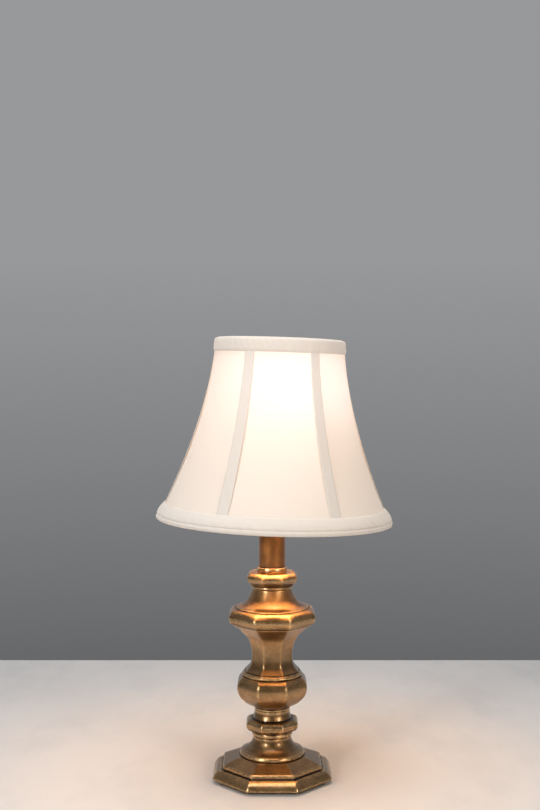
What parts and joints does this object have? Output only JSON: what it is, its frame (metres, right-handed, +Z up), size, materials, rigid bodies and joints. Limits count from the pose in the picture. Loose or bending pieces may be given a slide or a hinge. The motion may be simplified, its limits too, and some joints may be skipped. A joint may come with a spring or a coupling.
{
  "type": "candlestick lamp",
  "caption": "Small table lamp: an eight-sided turned brass candlestick column with a candle tube, a bulb socket with a turn switch, and a white cloth bell shade clipped on the bulb.",
  "frame": {"origin": "centre of the base's underside, on the plane that the feet rest on", "axes": "+Z up the column, -Y towards the front, +X to the right seen from the front"},
  "size_m": [0.2314, 0.2316, 0.4314],
  "materials": {
    "antique_brass": "cast, antiqued and lacquered, dark in the grooves",
    "tube_brass": "drawn, reddish antique plating",
    "felt": "pressed felt",
    "bushing_plastic": "moulded",
    "zinc_steel": "zinc plated",
    "socket_brass": "drawn sheet, lacquered",
    "phenolic": "moulded phenolic",
    "liner_paper": "fibre sheet",
    "contact_brass": "bare",
    "bulb_aluminium": "drawn",
    "insulator_glass": "black glass",
    "bulb_glass": "soft white inside coat, lit",
    "clear_glass": "clear",
    "tungsten": "drawn wire",
    "shade_cloth": "plain woven, stretched, lit from inside",
    "lining_cloth": "smooth lining",
    "trim_cloth": "folded bias strip, sewn",
    "frame_wire": "white painted wire",
    "clip_wire": "brass plated spring wire"
  },
  "bodies": {
    "root": {"base_foot": "antique_brass", "foot_pads": "felt", "cord_bushing": "bushing_plastic", "threaded_rod": "zinc_steel", "base_washer": "zinc_steel", "lock_washer": "zinc_steel", "bottom_nut": "zinc_steel", "lower_bell": "antique_brass", "lower_knop": "antique_brass", "ball_knop": "antique_brass", "vase": "antique_brass", "flange_drum": "antique_brass", "upper_bell": "antique_brass", "cap_knop": "antique_brass", "tube_ring": "antique_brass", "candle_tube": "tube_brass", "top_plate": "tube_brass", "socket_cap": "socket_brass", "cap_set_screw": "zinc_steel", "socket_body": "phenolic", "terminal_screws": "zinc_steel", "screw_shell": "contact_brass", "center_contact": "contact_brass", "socket_liner": "liner_paper", "socket_shell": "socket_brass"},
    "switch": {"switch_shaft": "contact_brass", "switch_knob": "phenolic"},
    "bulb": {"bulb_contact": "contact_brass", "bulb_insulator": "insulator_glass", "bulb_base": "bulb_aluminium", "bulb_glass": "bulb_glass", "bulb_stem": "clear_glass", "filament": "tungsten"},
    "shade": {"shade_cover": "shade_cloth", "shade_lining": "lining_cloth", "rib_tapes": "trim_cloth", "top_trim": "trim_cloth", "bottom_trim": "trim_cloth", "top_ring": "frame_wire", "bottom_ring": "frame_wire", "rib_wires": "frame_wire", "cross_wire": "clip_wire", "bulb_clip": "clip_wire"}
  },
  "joints": [
    {"name": "switch_turn", "type": "hinge", "parent": "root", "child": "switch", "pos_m": [0.00146, 0, 0.28986], "axis": [0, 1, 0], "continuous": true},
    {"name": "bulb_out", "type": "slide", "parent": "root", "child": "bulb", "axis": [0.0523, 0, 0.9986], "range_m": [0, 0.026]},
    {"name": "shade_tilt", "type": "hinge", "parent": "bulb", "child": "shade", "pos_m": [0.00622, 0, 0.38054], "axis": [-0.0419, 0.9991, 0.0014], "range_deg": [-12, 12]}
  ]
}
